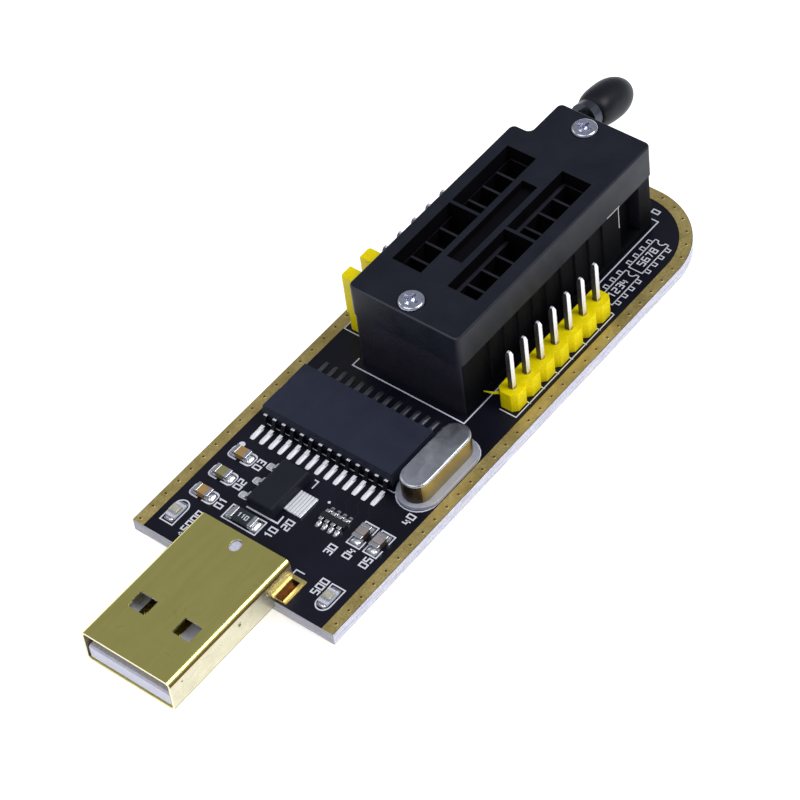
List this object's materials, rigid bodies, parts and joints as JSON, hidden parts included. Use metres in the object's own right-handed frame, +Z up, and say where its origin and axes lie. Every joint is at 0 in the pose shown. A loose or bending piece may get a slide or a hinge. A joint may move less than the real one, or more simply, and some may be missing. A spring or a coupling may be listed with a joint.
{
  "type": "usb memory chip programmer",
  "caption": "Stick-shaped USB chip programmer: circuit board with a USB-A plug, pin headers and a lever-operated ZIF test socket.",
  "frame": {"origin": "middle of the object's footprint, on the plane that the pin tails stand on", "axes": "+X along the board from the USB plug to the lever, +Z up out of the component side, +Y towards the header with the jumper cap"},
  "size_m": [0.0946, 0.0272, 0.0157],
  "materials": {
    "board_mask": "glossy black solder mask",
    "gold_plate": "thin gold plating, lightly scuffed",
    "white_plastic": "smooth white moulding",
    "black_plastic": "fine satin moulded black",
    "knob_black": "smooth black moulding",
    "screw_steel": "bright zinc",
    "yellow_plastic": "bright yellow moulding",
    "tin": "tin plated",
    "solder": "smooth solder",
    "chip_epoxy": "matt moulded epoxy",
    "crystal_metal": "satin nickel",
    "ceramic": "fired ceramic",
    "fuse_green": "dark green coating",
    "led_lens": "clear resin"
  },
  "bodies": {
    "programmer": {"circuit_board": "board_mask", "usb_shell": "gold_plate", "usb_insulator": "white_plastic", "usb_contacts": "gold_plate", "usb_leg_solder": "solder", "zif_base": "black_plastic", "zif_cover": "black_plastic", "zif_contacts_left": "tin", "zif_contacts_right": "tin", "zif_screws": "screw_steel", "left_header_housing": "yellow_plastic", "left_header_pins": "tin", "left_header_solder": "solder", "right_header_housing": "yellow_plastic", "right_header_pins": "tin", "right_header_solder": "solder", "zif_solder": "solder", "controller_body": "chip_epoxy", "controller_leads": "tin", "regulator_body": "chip_epoxy", "regulator_leads": "tin", "crystal_base": "crystal_metal", "crystal_can": "crystal_metal", "crystal_leads": "tin", "crystal_solder": "solder", "fuse_body": "fuse_green", "fuse_caps": "tin", "resistor_array_body": "chip_epoxy", "resistor_array_terminals": "tin", "power_led_base": "white_plastic", "power_led_lens": "led_lens", "run_led_base": "white_plastic", "run_led_lens": "led_lens", "capacitor_c1_body": "ceramic", "capacitor_c1_caps": "tin", "capacitor_c2_body": "ceramic", "capacitor_c2_caps": "tin", "capacitor_c3_body": "ceramic", "capacitor_c3_caps": "tin", "capacitor_c4_body": "ceramic", "capacitor_c4_caps": "tin", "capacitor_c5_body": "ceramic", "capacitor_c5_caps": "tin"},
    "lever": {"zif_lever_arm": "screw_steel", "zif_lever_knob": "knob_black"},
    "comb": {"zif_slider": "black_plastic"},
    "jumper_cap": {"jumper_housing": "yellow_plastic", "jumper_clip": "tin"}
  },
  "joints": [
    {"name": "zif_lever", "type": "hinge", "parent": "programmer", "child": "lever", "pos_m": [0.02977, 0.0002, 0.0099], "axis": [0, -1, 0], "range_deg": [0, 100]},
    {"name": "zif_comb", "type": "slide", "parent": "programmer", "child": "comb", "axis": [-1, 0, 0], "range_m": [0, 0.00123]},
    {"name": "jumper_pull", "type": "slide", "parent": "programmer", "child": "jumper_cap", "axis": [0, 0, 1], "range_m": [0, 0.0065]}
  ],
  "couplings": [
    {"joint": "zif_lever", "follows": "zif_comb", "rad_per_m": 1423.6}
  ]
}
